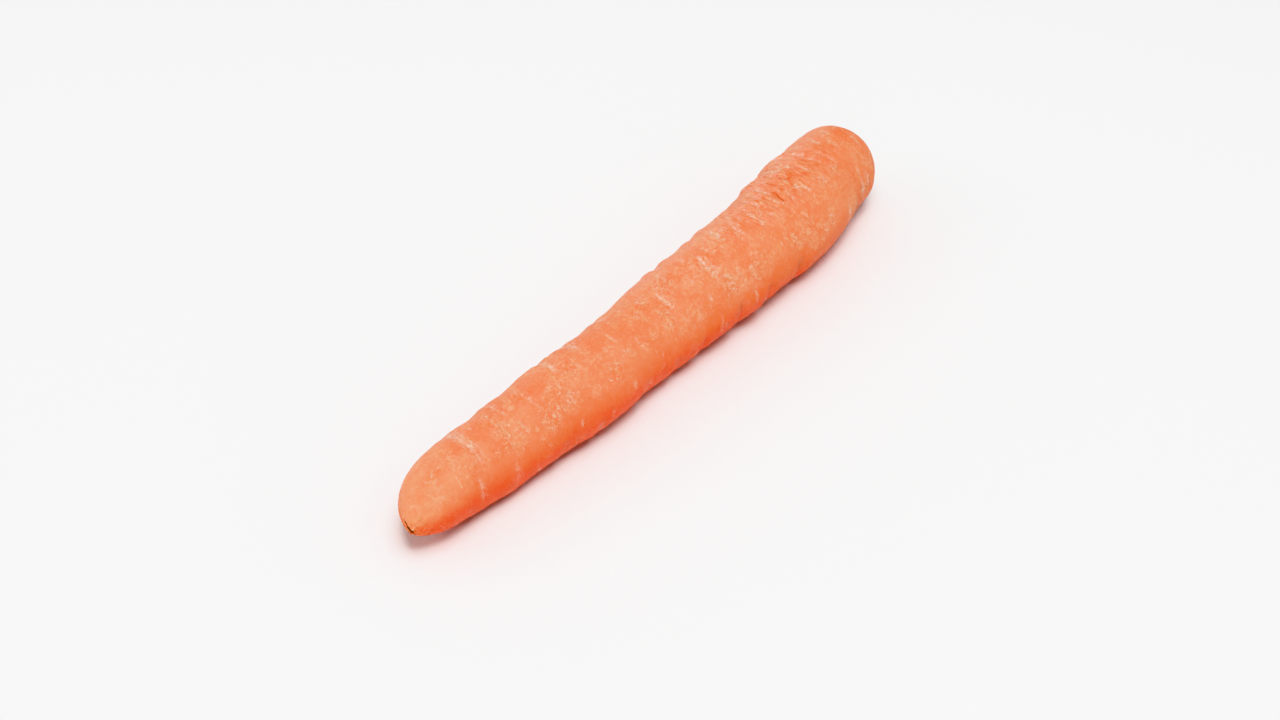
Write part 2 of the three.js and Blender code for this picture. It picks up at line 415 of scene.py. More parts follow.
def skin_tree(sizes, material):
    tree, n, entry = shape_tree("Root skin", sizes)
    spine = entry["Geometry"]
    rows, sides = entry["Rows"], entry["Sides"]
    columns = n.total(sides, 1)

    # A flat sheet of rows and columns, each point of which looks up its place on the centreline
    sheet = n.add("GeometryNodeMeshGrid", 1.0, 1.0, rows, columns)
    index = n.add("GeometryNodeInputIndex")
    row = n.math("FLOOR", n.over(n.total(index, 0.5), columns))
    column = n.minus(index, n.product(row, columns))
    turn = n.product(n.over(column, sides), 2 * math.pi)

    geometry = n.store(sheet, "turn", turn)
    for name in ("along", "radius", "centre", "forward", "side", "up"):
        kind = "FLOAT" if name in ("along", "radius") else "FLOAT_VECTOR"
        value = n.add("GeometryNodeSampleIndex", spine, n.attribute(name, kind), row, data_type=kind)
        geometry = n.store(geometry, name, value, kind)

    along, radius, turn = n.attribute("along"), n.attribute("radius"), n.attribute("turn")
    cosine, sine = n.math("COSINE", turn), n.math("SINE", turn)
    # The skin laid straight: its pattern follows the bow, and is as large near the ends
    y, z = n.circle(radius, turn)
    straight = n.add("ShaderNodeCombineXYZ", along, y, z)
    geometry = n.store(geometry, "straight", straight, "FLOAT_VECTOR")
    straight = n.attribute("straight", "FLOAT_VECTOR")

    # Furrows and wrinkles, one at a time: a groove between two lips, wandering, fading at its ends
    start = n.tree.nodes.new("GeometryNodeRepeatInput")
    stop = n.tree.nodes.new("GeometryNodeRepeatOutput")
    start.pair_with_output(stop)
    furrows = n.add("GeometryNodeObjectInfo", entry["Furrows"], out="Geometry")
    count = n.add("GeometryNodeAttributeDomainSize", furrows, component="MESH")
    n.feed(start.inputs["Iterations"], count)
    n.feed(start.inputs["Geometry"], geometry)
    step = start.outputs["Iteration"]

    def of_furrow(name):
        return n.add("GeometryNodeSampleIndex", furrows, n.attribute(name), step, data_type="FLOAT")

    wander = n.noise(n.vector("MULTIPLY", straight, (0.02, 0.16, 0.16)), 1.0, 2.0,
                     seed=n.product(of_furrow("along"), 0.8))
    wander = n.product(n.minus(wander, 0.5), entry["Furrow wander"])
    offset = n.math("WRAP", n.minus(turn, of_furrow("middle")), math.pi, -math.pi)
    inner = start.outputs["Geometry"]
    inner = n.store(inner, "here", n.total(along, n.product(of_furrow("along"), -1.0), wander))
    inner = n.store(inner, "fade", n.plateau(n.over(offset, of_furrow("half"))))
    here, fade = n.attribute("here"), n.attribute("fade")
    away = n.over(here, of_furrow("scale"))
    across = n.over(away, entry["Furrow width"])
    lips = n.product(n.total(n.bell(n.total(across, entry["Lip offset"])),
                             n.bell(n.minus(across, entry["Lip offset"]))),
                     entry["Lip height"])
    groove = n.product(n.minus(lips, n.bell(across)), of_furrow("depth"), fade)
    crease = n.product(n.bell(n.over(away, entry["Crease width"])), fade)
    groove = n.minus(groove, n.product(crease, entry["Crease depth"], of_furrow("crack")))
    inner = n.store(inner, "relief", n.total(n.attribute("relief"), groove))
    # Each point keeps the scar line nearest to it: how far off it is, and how strong. A line's faded
    # end and a weak line count as farther off than they are
    strength = n.math("MAXIMUM", of_furrow("cork"), of_furrow("crack"))
    gap = n.total(n.absolute(here), n.product(n.minus(1.0, fade), entry["Faded line setback"]),
                  n.product(n.minus(1.0, strength), entry["Weak line setback"]))
    nearness = n.minus(entry["Line reach"], gap)
    closer = n.math("GREATER_THAN", nearness, n.attribute("nearness"))

    def kept(name, value):
        return n.store(inner, name, n.add("GeometryNodeSwitch", closer, n.attribute(name), value,
                                          input_type="FLOAT"))

    inner = kept("line", away)
    inner = kept("cork", n.product(of_furrow("cork"), fade))
    inner = kept("crack", n.product(of_furrow("crack"), fade))
    inner = kept("nearness", nearness)
    knot = n.product(n.bell(n.over(here, n.math("MAXIMUM", of_furrow("knot"), 0.01))), fade)
    inner = n.store(inner, "knot", n.math("MAXIMUM", n.attribute("knot"), knot))
    n.feed(stop.inputs["Geometry"], inner)
    geometry = stop.outputs["Geometry"]

    # Low waves, fine crosswise creases, a pebbly skin and soft lumps; the underside is pressed smooth
    def wave(height, length, lobes):
        place = n.total(n.product(along, 2 * math.pi / length), n.product(turn, lobes))
        return n.product(n.math("SINE", place), height)

    def rough(place, scale, detail, seed, height):
        return n.product(n.centred(place, scale, detail, 0.55, seed), height)

    crosswise = n.vector("MULTIPLY", straight, (0.75, 0.10, 0.10))
    facing = n.total(n.product(cosine, PUCKERED_SIDE[1]), n.product(sine, PUCKERED_SIDE[2]))
    puckered = n.product(rough(crosswise, 1.5, 3.0, 25.0, entry["Puckered height"]),
                         puckered_zone(n, along, facing))
    relief = n.total(n.attribute("relief"), *(wave(*values) for values in WAVES), puckered,
                     rough(crosswise, 1.0, 3.0, 5.0, entry["Crease height"]),
                     rough(straight, 0.55, 2.0, 9.0, entry["Pebble height"]),
                     rough(straight, 0.11, 1.0, 14.0, entry["Lump height"]))
    below = n.math("WRAP", n.minus(turn, 1.5 * math.pi), math.pi, -math.pi)
    underside = n.plateau(n.over(below, UNDERSIDE))
    near_pole = n.bell(n.over(radius, entry["Pole reach"]))
    relief = n.product(relief, n.minus(1.0, underside), n.minus(1.0, near_pole))

    # The crown's shoulder puckers towards the leaf scar
    is_tip = n.math("LESS_THAN", along, LENGTH / 2)
    is_crown = n.minus(1.0, is_tip)
    direction = n.add("ShaderNodeCombineXYZ", n.product(along, 0.05), cosine, sine)
    pucker = n.minus(n.noise(direction, 3.2, 2.0, 0.5, 33.0), 0.62)
    shoulder = n.bell(n.over(n.minus(radius, entry["Shoulder radius"]), entry["Shoulder width"]))
    shoulder = n.product(shoulder, is_crown)
    relief = n.total(relief, n.product(shoulder, pucker, entry["Pucker height"]))

    # Leaf scar: a dish ringed by old leaf bases about a bud, standing along the root
    dish = n.plateau(n.over(radius, entry["Leaf scar radius"]))
    rings = n.math("COSINE", n.over(n.product(radius, 2 * math.pi), entry["Leaf ring pitch"]))
    rings = n.product(rings, entry["Leaf ring height"])
    bud = n.bell(n.over(radius, entry["Bud radius"]))
    leaf_scar = n.total(n.product(dish, n.minus(rings, entry["Leaf scar depth"])),
                        n.product(bud, entry["Bud height"]),
                        n.product(dish, rough(straight, 1.4, 3.0, 37.0, entry["Leaf scar roughness"])))
    # Tail scar: a torn slit with a raised rim to one side of the tip, in a puckered and flaky end
    scar_place = n.add("ShaderNodeCombineXYZ", n.minus(y, entry["Tail scar aside"]),
                       n.minus(z, entry["Tail scar up"]))
    lengthways = n.vector("DOT_PRODUCT", scar_place, (math.cos(TAIL_LEAN), math.sin(TAIL_LEAN), 0.0))
    sideways = n.vector("DOT_PRODUCT", scar_place, (-math.sin(TAIL_LEAN), math.cos(TAIL_LEAN), 0.0))
    torn = n.product(n.centred(scar_place, 1.1, 3.0, 0.65, 43.0), entry["Tail scar tear"])
    slit = n.add("ShaderNodeCombineXYZ", n.over(lengthways, entry["Tail scar length"]),
                 n.total(n.over(sideways, entry["Tail scar width"]), torn))
    from_slit = n.vector("LENGTH", slit)
    pit = n.plateau(from_slit)
    rim = n.bell(n.over(n.minus(from_slit, 1.7), 0.6))
    flakes = n.minus(0.12, n.absolute(n.centred(straight, 0.55, 3.0, 0.6, 49.0)))
    flaky = n.bell(n.over(radius, entry["Tail flake reach"]))
    tip_pucker = n.centred(direction, 2.6, 2.0, 0.5, 61.0)
    tip_ring = n.bell(n.over(n.minus(radius, entry["Tail pucker radius"]), entry["Tail pucker width"]))
    tail_scar = n.total(n.product(pit, -1.0, entry["Tail scar depth"]),
                        n.product(rim, entry["Tail rim height"]),
                        n.product(flaky, flakes, entry["Tail flake height"]),
                        n.product(tip_ring, tip_pucker, entry["Tail pucker height"]))
    lengthwise = n.add("ShaderNodeMix", is_tip, None, leaf_scar, n.product(tail_scar, -1.0),
                       data_type="FLOAT")
    for name, value in {"leaf_scar": n.product(dish, is_crown), "shoulder": shoulder,
                        "bud": n.product(bud, is_crown), "tail_scar": n.product(pit, is_tip),
                        "tail_rim": n.product(near_pole, is_tip)}.items():
        geometry = n.store(geometry, name, value)

    # Every point goes out from the centreline, and none goes below the table
    outwards = n.vector("ADD", n.vector("SCALE", n.attribute("side", "FLOAT_VECTOR"), cosine),
                        n.vector("SCALE", n.attribute("up", "FLOAT_VECTOR"), sine))
    place = n.vector("ADD", n.attribute("centre", "FLOAT_VECTOR"),
                     n.vector("SCALE", outwards, n.total(radius, relief)))
    place = n.vector("ADD", place, n.vector("SCALE", n.attribute("forward", "FLOAT_VECTOR"), lengthwise))
    place = n.vector("MAXIMUM", place, (-1000.0, -1000.0, 0.0))
    geometry = n.add("GeometryNodeSetPosition", geometry, None, n.vector("SCALE", place, MM))

    # Close the seam and both poles
    at_pole = n.math("LESS_THAN", radius, 0.001)
    geometry = n.add("GeometryNodeMergeByDistance", geometry, at_pole, named={"Distance": 0.0005})
    geometry = n.add("GeometryNodeMergeByDistance", geometry, named={"Distance": 1e-6})
    # A sheet rolled this way round faces inwards, so its faces are turned
    geometry = n.add("GeometryNodeFlipFaces", geometry)
    geometry = n.add("GeometryNodeSetShadeSmooth", geometry)
    for name in ("turn", "forward", "side", "up", "centre", "relief", "here", "fade", "nearness"):
        geometry = n.add("GeometryNodeRemoveAttribute", geometry, name)
    finish_tree(n, geometry, material)
    return tree


def new_material(name):
    material = bpy.data.materials.new(name)
    material.use_nodes = True
    return material, Nodes(material.node_tree)


# Colours of the skin, from the flesh up to its marks and scars. The paler upper side, the pink sheen
# on one upper flank and the paler other upper flank carry painted light; the deeper, redder flanks and
# underside are painted shade
COLOURS = {
    "flesh": (0.800, 0.132, 0.026, 1), "lighter flesh": (0.810, 0.158, 0.036, 1),
    "dry_and_painted_light": (0.812, 0.170, 0.041, 1), "painted_shade_flanks": (0.83, 0.088, 0.015, 1),
    "bloom_and_painted_sheen": (0.92, 0.43, 0.31, 1), "painted_light_front": (0.90, 0.44, 0.25, 1),
    "tail end": (0.90, 0.39, 0.16, 1), "cloud": (0.92, 0.46, 0.24, 1),
    "film": (0.92, 0.46, 0.26, 1), "hollow": (0.80, 0.105, 0.020, 1),
    "mark": (1.0, 0.66, 0.48, 1), "cork": (1.0, 0.68, 0.51, 1), "crack": (0.42, 0.035, 0.004, 1),
    "shoulder": (0.50, 0.24, 0.035, 1), "dark leaf scar": (0.10, 0.050, 0.018, 1),
    "leaf scar": (0.42, 0.26, 0.085, 1), "bud": (0.36, 0.38, 0.09, 1),
    "raw": (0.80, 0.115, 0.028, 1), "flake": (0.95, 0.45, 0.20, 1),
    "pit": (0.40, 0.040, 0.010, 1), "torn": (0.14, 0.010, 0.003, 1),
}
# Thread marks stand one to a cell: cells to a millimetre, along the root and around it
CELLS_ALONG, CELLS_AROUND = 0.16, 0.085


def carrot_skin():
    """Washed carrot skin: waxy orange flesh that light soaks into, under a dry, rubbed pale film."""
    material, n = new_material("carrot_skin")
    straight = n.read("straight", "Vector")
    along = n.add("ShaderNodeSeparateXYZ", straight, out=0)

    def stretched(lengthways, crossways):
        return n.vector("MULTIPLY", straight, (lengthways, crossways, crossways))

    around = n.vector("NORMALIZE", stretched(0, 1))

    def facing(*side):
        """One where the skin faces that way, down to minus one on the other side."""
        return n.vector("DOT_PRODUCT", around, side)

    def outline(scale, detail, seed, low, high):
        """Thin winding lines: where a noise passes through its middle value."""
        return n.rise(n.absolute(n.centred(straight, scale, detail, 0.5, seed)), high, low)

    grain = n.noise(straight, 2.4, 2.0, 0.7, 3.0)
    ragged = n.minus(grain, 0.5)

    # The upper side is paler, partly a dried film and partly painted light; the flanks and underside are
    # painted deeper and redder, as painted shade
    upward = n.total(facing(0.0, 0.12, 0.993),
                     n.product(n.centred(straight, 0.07, 3.0, 0.5, 5.0), 0.55),
                     n.product(n.centred(straight, 0.28, 4.0, 0.65, 6.0), 0.45),
                     n.rise(along, 90.0, 130.0, -0.22, 0.02), n.rise(along, 125.0, 165.0, 0.0, 0.38),
                     n.rise(along, 22.0, 0.0, 0.0, -0.15))
    # Paler where the skin faces up: partly a dried film, partly painted light
    dry_and_painted_light = n.rise(upward, -0.30, 0.60)
    # Deeper and redder on the lower flanks and underneath: painted shade
    painted_shade_flanks = n.product(n.rise(upward, 0.06, -0.50),
                      n.rise(facing(0.0, 1.0, 0.0), -0.4, 0.7, 1.0, 0.25))
    broad = n.rise(n.noise(straight, 0.045, 3.0, 0.5, 2.0), 0.36, 0.64)
    colour = n.paint(COLOURS["flesh"], broad, COLOURS["lighter flesh"])
    colour = n.paint(colour, dry_and_painted_light, COLOURS["dry_and_painted_light"])
    colour = n.paint(colour, painted_shade_flanks, COLOURS["painted_shade_flanks"])

    # One upper flank is pinkish pale: partly a dusty bloom and partly a painted sheen, the reflection of
    # the bright surroundings. It thins out raggedly downwards and tailwards
    place = n.total(along, n.product(n.centred(straight, 0.08, 3.0, 0.6, 9.0), 90.0))
    level = n.total(facing(0.0, 0.0, 1.0), n.product(n.centred(straight, 0.16, 4.0, 0.65, 25.0), 0.9))
    dusting = n.rise(n.noise(stretched(1.6, 0.7), 1.0, 4.0, 0.8, 24.0), 0.38, 0.62, 0.40, 1.40)
    bloom_and_painted_sheen = n.product(n.rise(facing(0.0, 0.74, 0.67), 0.70, 0.98), n.rise(place, 70.0, 118.0, 0.40, 1.0),
                      dusting, n.rise(level, -0.15, 0.75))
    colour = n.paint(colour, n.product(bloom_and_painted_sheen, 0.48), COLOURS["bloom_and_painted_sheen"])
    # The other upper flank is painted a little paler, as painted light; the tail end and soft clouds on
    # the upper side are a little paler too
    painted_light_front = n.rise(facing(0.0, -0.67, 0.74), 0.70, 1.0)
    colour = n.paint(colour, n.product(painted_light_front, 0.10), COLOURS["painted_light_front"])
    colour = n.paint(colour, n.product(n.rise(along, 26.0, 3.0), dry_and_painted_light, 0.34), COLOURS["tail end"])
    cloud = n.rise(n.noise(straight, 0.20, 3.0, 0.6, 23.0), 0.38, 0.66)
    cloud = n.product(cloud, dry_and_painted_light, n.rise(along, 45.0, 8.0, 0.17, 0.36))
    colour = n.paint(colour, cloud, COLOURS["cloud"])

    # The film: islands with crisp ragged edges, each stippled finely
    islands = n.total(n.noise(stretched(1.15, 0.85), 0.13, 5.0, 0.62, 7.0),
                      n.product(n.read("knot"), 0.09))
    film = n.rise(islands, 0.495, 0.535)
    stipple = n.rise(n.noise(straight, 1.15, 4.0, 0.85, 11.0), 0.40, 0.62)
    # Where the skin puckers, the film is rubbed off in short crosswise strokes
    puckered = puckered_zone(n, along, facing(*PUCKERED_SIDE))
    strokes = n.rise(n.noise(stretched(1.9, 0.50), 1.0, 4.0, 0.75, 15.0), 0.45, 0.60)
    stipple = n.add("ShaderNodeMix", n.rise(puckered, 0.0, 1.0, 0.15, 0.85), None, stipple, strokes,
                    data_type="FLOAT")
    film = n.total(n.product(film, n.rise(stipple, 0.0, 1.0, 0.15, 1.0), 0.9),
                   n.product(stipple, n.rise(puckered, 0.0, 1.0, 0.75, 1.1)))
    film = n.product(film, n.rise(n.noise(straight, 0.07, 2.0, 0.5, 13.0), 0.35, 0.65, 0.6, 1.0),
                     n.rise(dry_and_painted_light, 0.20, 0.95, 0.22, 1.0))
    colour = n.paint(colour, n.product(film, 0.56), COLOURS["film"])
    # and the hollows between the strokes stay deep
    hollows = n.noise(stretched(1.6, 0.40), 1.0, 3.0, 0.7, 16.0)
    hollows = n.product(n.rise(hollows, 0.47, 0.36), puckered)
    colour = n.paint(colour, n.product(hollows, 0.55), COLOURS["hollow"])

    # Pale threads run crosswise, each cell's at its own slant and length, and some cells have none
    cells = stretched(CELLS_ALONG, CELLS_AROUND)
    cell = n.tree.nodes.new("ShaderNodeTexVoronoi")
    n.feed(cell.inputs["Vector"], cells)
    cell.inputs["Scale"].default_value = 1.0
    from_cell = n.vector("SUBTRACT", cells, cell.outputs["Position"])
    slant, length, shown = (n.add("ShaderNodeSeparateColor", cell.outputs["Color"], out=i)
                            for i in range(3))
    crosswise = n.vector("CROSS_PRODUCT", around, (1.0, 0.0, 0.0))
    reach = n.over(n.vector("DOT_PRODUCT", from_cell, crosswise), CELLS_AROUND)
    drift = n.over(n.add("ShaderNodeSeparateXYZ", from_cell, out=0), CELLS_ALONG)
    drift = n.total(drift, n.product(reach, n.minus(slant, 0.5), 0.7),
                    n.product(n.centred(straight, 0.45, 2.0, 0.5, 19.0), 2.2))
    threads = n.product(n.rise(n.absolute(drift), 0.20, 0.07),
                        n.plateau(n.over(reach, n.rise(length, 0.0, 1.0, 1.2, 3.6))),
                        n.rise(shown, 0.40, 0.55),
                        n.rise(n.noise(straight, 1.0, 3.0, 0.7, 21.0), 0.42, 0.56, 0.12, 1.0))

    # Short pale squiggles and flecks gather in knots and beside the furrows
    fray = n.centred(stretched(1.3, 0.55), 1.0, 3.0, 0.7, 31.0)
    away = n.absolute(n.total(n.read("line"), n.product(fray, 1.5)))
    beside = n.product(n.rise(away, 3.4, 0.8), n.rise(n.read("cork"), 0.3, 1.0))
    knots = n.total(n.read("knot"), n.product(n.centred(straight, 0.17, 3.0, 0.6, 17.0), 2.2))
    tangles = n.math("MAXIMUM", n.rise(knots, 0.12, 0.55), n.product(beside, 0.9))
    squiggles = n.product(outline(0.62, 2.0, 51.0, 0.016, 0.045),
                          n.rise(n.noise(straight, 0.8, 2.0, 0.6, 53.0), 0.48, 0.58))
    flecks = n.total(n.noise(straight, 1.3, 3.0, 0.75, 57.0), n.product(ragged, 0.3))
    marks = n.product(n.math("MAXIMUM", squiggles, n.rise(flecks, 0.60, 0.69)),
                      n.rise(tangles, 0.0, 1.0, 0.12, 1.0))
    crumbs = n.rise(n.noise(straight, 2.6, 3.0, 0.8, 59.0), 0.36, 0.60, 0.40, 1.0)
    marks = n.product(n.math("MAXIMUM", marks, threads), n.rise(dry_and_painted_light, 0.1, 0.9, 0.48, 0.88), crumbs, 1.15)
    colour = n.paint(colour, n.product(marks, 0.85), COLOURS["mark"])

    # Corky scars in the furrows: a thin core, frayed and broken along its length, beside pale lips
    broken = n.noise(straight, 0.45, 3.0, 0.65, 35.0)
    breadth = n.rise(broken, 0.34, 0.58, 0.20, 1.0)
    beads = n.total(n.noise(straight, 1.1, 2.0, 0.7, 37.0), n.product(ragged, 0.3))
    beads = n.rise(beads, 0.46, 0.58)
    core = n.product(n.rise(n.over(away, breadth), 1.1, 0.6), n.rise(broken, 0.37, 0.47),
                     n.rise(beads, 0.0, 1.0, 0.30, 1.0))
    lips = n.product(n.rise(n.absolute(n.minus(away, 1.3)), 0.9, 0.2),
                     n.rise(n.noise(stretched(1.6, 0.8), 1.0, 3.0, 0.75, 39.0), 0.48, 0.60))
    cork = n.product(n.math("MAXIMUM", core, n.product(lips, 0.50)), n.read("cork"), crumbs, 1.15)
    colour = n.paint(colour, cork, COLOURS["cork"])
    # Dark cracks, thinner towards their ends
    tapered = n.rise(n.read("crack"), 0.60, 0.95, 0.35, 1.0)
    crack = n.over(n.absolute(n.total(n.read("line"), n.product(fray, 0.5))), tapered)
    crack = n.product(n.rise(crack, 0.40, 0.18), n.rise(n.read("crack"), 0.25, 0.80))
    colour = n.paint(colour, n.product(crack, 0.80), COLOURS["crack"])

    # The crown: a green-brown shoulder, a brown leaf scar and a greenish bud
    weathered = n.noise(straight, 0.8, 4.0, 0.65, 71.0)
    tinge = n.product(n.read("shoulder"), n.rise(weathered, 0.35, 0.65), 0.55)
    colour = n.paint(colour, tinge, COLOURS["shoulder"])
    scar = n.paint(COLOURS["dark leaf scar"], n.rise(weathered, 0.38, 0.68), COLOURS["leaf scar"])
    edge = n.total(n.read("leaf_scar"), n.product(ragged, 0.3))
    colour = n.paint(colour, n.rise(edge, 0.30, 0.55), scar)
    colour = n.paint(colour, n.rise(n.read("bud"), 0.25, 0.7), COLOURS["bud"])
    # The tail: raw and flaky round a dark torn pit
    raw = n.product(n.rise(n.read("tail_rim"), 0.58, 0.95), n.rise(weathered, 0.60, 0.40))
    colour = n.paint(colour, n.product(raw, 0.60), COLOURS["raw"])
    flakes = n.product(outline(0.55, 3.0, 49.0, 0.01, 0.06), n.read("tail_rim"))
    colour = n.paint(colour, n.product(flakes, 0.45), COLOURS["flake"])
    pit = n.rise(n.total(n.read("tail_scar"), n.product(ragged, 0.6)), 0.15, 0.60)
    colour = n.paint(colour, n.product(pit, 0.90), COLOURS["pit"])
    torn = n.product(pit, n.rise(n.noise(straight, 1.3, 3.0, 0.65, 73.0), 0.44, 0.54))
    colour = n.paint(colour, n.product(torn, 0.90), COLOURS["torn"])

    # Marks, cork and film stand up from the skin, cracks and hollows are sunk in it
    crust = n.product(n.centred(straight, 1.3, 3.0, 0.75, 27.0), n.rise(tangles, 0.0, 1.0, 0.15, 0.75))
    height = n.total(n.product(grain, 0.05), n.product(stipple, 0.12), n.product(marks, 0.18),
                     n.product(hollows, -0.22), n.product(cork, 0.20), n.product(crack, -0.15),
                     n.product(film, 0.05), n.product(torn, -0.15), crust)
    bump = n.add("ShaderNodeBump", named={"Strength": 0.95, "Distance": MM, "Height": height})
    n.surface({"Base Color": colour, "Roughness": n.rise(film, 0.0, 1.0, 0.46, 0.62), "Normal": bump,
               "Subsurface Weight": 0.2, "Subsurface Radius": (1.0, 0.30, 0.08),
               "Subsurface Scale": 0.9 * MM, "IOR": 1.36, "Specular IOR Level": 0.22})
    return material


furrow_points = furrow_list()
skin_sizes = {
    "Rows": ROWS, "Sides": SIDES, "Furrows": furrow_points, "Furrow width": 1.5,
    "Furrow wander": 2.4, "Lip height": 0.35, "Lip offset": 1.9, "Crease width": 0.45,
    "Crease depth": 0.5, "Line reach": 100.0, "Faded line setback": 8.0, "Weak line setback": 2.0,
    "Puckered height": 1.2, "Crease height": 0.30, "Pebble height": 0.14, "Lump height": 0.5,
    "Pole reach": 5.0, "Shoulder radius": 6.6, "Shoulder width": 1.9, "Pucker height": 1.1,
    "Leaf scar radius": 5.4, "Leaf scar depth": 1.5, "Leaf scar roughness": 0.5,
    "Leaf ring pitch": 1.9, "Leaf ring height": 0.28, "Bud radius": 1.2, "Bud height": 1.9,
    "Tail scar length": 2.0, "Tail scar width": 0.55, "Tail scar depth": 0.7,
    "Tail scar aside": 0.42, "Tail scar up": 0.76, "Tail scar tear": 4.2, "Tail rim height": 0.28,
    "Tail flake reach": 6.0, "Tail flake height": 2.2, "Tail pucker radius": 4.4,
    "Tail pucker width": 1.8, "Tail pucker height": 1.6,
}
skin = grown("root_skin", spine_mesh(), skin_tree(skin_sizes, carrot_skin()), skin_sizes)
bpy.data.objects.remove(furrow_points)

# The skin stands where the solid root stands: its middle over the middle of the solid's box
skin_points = np.array([v.co for v in skin.data.vertices])
low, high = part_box("carrot")
middle = (skin_points.min(0) + skin_points.max(0)) / 2
recentred = Matrix.Translation(((low.x + high.x) / 2 - middle[0], (low.y + high.y) / 2 - middle[1], 0))
skin.data.transform(recentred)
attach(skin, "root")
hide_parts("carrot")

# ------------------------------------------------------------------------------------------------
# Leaf stubs. The leaves were cut off at the crown, and the ends of their stalks are left: short
# gutter-shaped stubs of green-brown stalk, set in a spiral about the bud and grown from the root.

stub_sizes = {
    "Count": 9, "Spiral": math.radians(137.5), "First ring": 1.9, "Last ring": 4.5,
    "Arc": math.radians(96), "Thickness": 0.85, "Height": 2.6, "Hollow": 0.35, "Sunk": 2.3,
    "Lean": 0.45,
}


def stub_tree(sizes, material):
    tree, n, entry = shape_tree("Leaf stubs", sizes)
    # One stub: a fine block bent round the bud, thin at its two sides, hollow on its cut face
    block = n.add("GeometryNodeMeshCube", (1.0, 1.0, 1.0), 13, 5, 5)
    place = n.add("GeometryNodeInputPosition")
    u, v, w = (n.add("ShaderNodeSeparateXYZ", place, out=i) for i in range(3))
    sideways = n.product(u, 2.0)
    thin = n.math("SQRT", n.minus(1.06, n.product(sideways, sideways)))
    ring = n.total(n.product(v, thin, entry["Thickness"]), 1.0)
    angle = n.product(u, entry["Arc"])
    top = n.total(w, 0.5)
    cut = n.rise(top, 0.9, 1.0)
    rind = n.absolute(n.product(v, 2.0))
    hollow = n.product(cut, n.minus(1.0, rind), thin, entry["Hollow"])
    x, y = n.circle(ring, angle)
    shaped = n.add("ShaderNodeCombineXYZ", n.total(x, -1.0, n.product(top, top, entry["Lean"])), y,
                   n.minus(n.product(top, entry["Height"]), hollow))
    block = n.store(block, "cut", cut)
    block = n.store(block, "rind", rind)
    stub = n.add("GeometryNodeSetPosition", block, None, shaped)
    # Bending the block this way mirrors it, so its faces are turned outwards again
    stub = n.add("GeometryNodeFlipFaces", stub)
    stub = n.add("GeometryNodeSubdivisionSurface", stub, 1)

    # The spiral: outer stubs are wider and shorter, and each is tipped and stretched a little
    index = n.add("GeometryNodeInputIndex")
    share = n.math("SQRT", n.over(index, n.minus(entry["Count"], 1)))
    radius = n.ramp(share, entry["First ring"], entry["Last ring"])
    turn = n.total(n.product(index, entry["Spiral"]), n.random(-0.2, 0.2, 3))
    spot = n.add("ShaderNodeCombineXYZ", *n.circle(radius, turn), n.product(entry["Sunk"], -1.0))
    points = n.add("GeometryNodePoints", entry["Count"], spot)
    tall = n.product(n.ramp(share, 1.05, 0.62), n.random(0.82, 1.12, 5))
    scale = n.add("ShaderNodeCombineXYZ", n.random(0.85, 1.15, 7), n.ramp(share, 0.95, 1.75), tall)
    facing = n.add("ShaderNodeCombineXYZ", n.random(-0.1, 0.1, 9), n.random(-0.08, 0.10, 11), turn)
    stubs = n.add("GeometryNodeInstanceOnPoints", points, None, stub, None, None, facing, scale)
    finish_tree(n, n.add("GeometryNodeSetShadeSmooth", stubs), material)
    return tree


def stalk_end():
    """Cut leaf stalk: dull green-brown sides with a dry rim, and a paler straw-green cut face."""
    material, n = new_material("stalk_end")
    fine = n.noise(n.add("ShaderNodeTexCoord", out="Object"), 1400.0, 3.0, 0.6, 2.0)
    side = n.paint((0.17, 0.13, 0.035, 1), n.rise(fine, 0.35, 0.65), (0.34, 0.30, 0.07, 1))
    face = n.paint((0.30, 0.20, 0.065, 1), n.rise(fine, 0.38, 0.60), (0.62, 0.55, 0.26, 1))
    face = n.paint(face, n.rise(n.read("rind"), 0.55, 0.95), (0.20, 0.11, 0.035, 1))
    bump = n.add("ShaderNodeBump", named={"Strength": 0.6, "Distance": 0.3 * MM, "Height": fine})
    n.surface({"Base Color": n.paint(side, n.read("cut"), face), "Roughness": 0.6, "Normal": bump})
    return material


def end_frame(along, outward):
    """Millimetres about an end of the root, first axis to +Y, third axis outwards, to metres in place."""
    end, inner = map(Vector, centreline(np.array([along, along - 0.5 * outward])))
    third = (end - inner).normalized()
    forward = third * outward
    first = Vector((0, 0, 1)).cross(forward).normalized()
    turned = Matrix((first, forward.cross(first), third)).transposed().to_4x4()
    return recentred @ Matrix.Translation(end * MM) @ turned @ Matrix.Scale(MM, 4)


stub_start = bpy.data.meshes.new("stub_start")
stubs = grown("leaf_stubs", stub_start, stub_tree(stub_sizes, stalk_end()), stub_sizes)
stubs.data.transform(end_frame(LENGTH, 1))
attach(stubs, "root")

# ------------------------------------------------------------------------------------------------
# Tail fibres. Where the thin tail root tore off, a few dry brown fibres are left standing round
# the edge of the pit.

fibre_sizes = {
    "Count": 9, "Ring": 0.7, "Thickness": 0.09, "Tip thickness": 0.02, "Length": 0.9, "Sunk": 0.75,
    "Aside": skin_sizes["Tail scar aside"], "Up": skin_sizes["Tail scar up"],
}


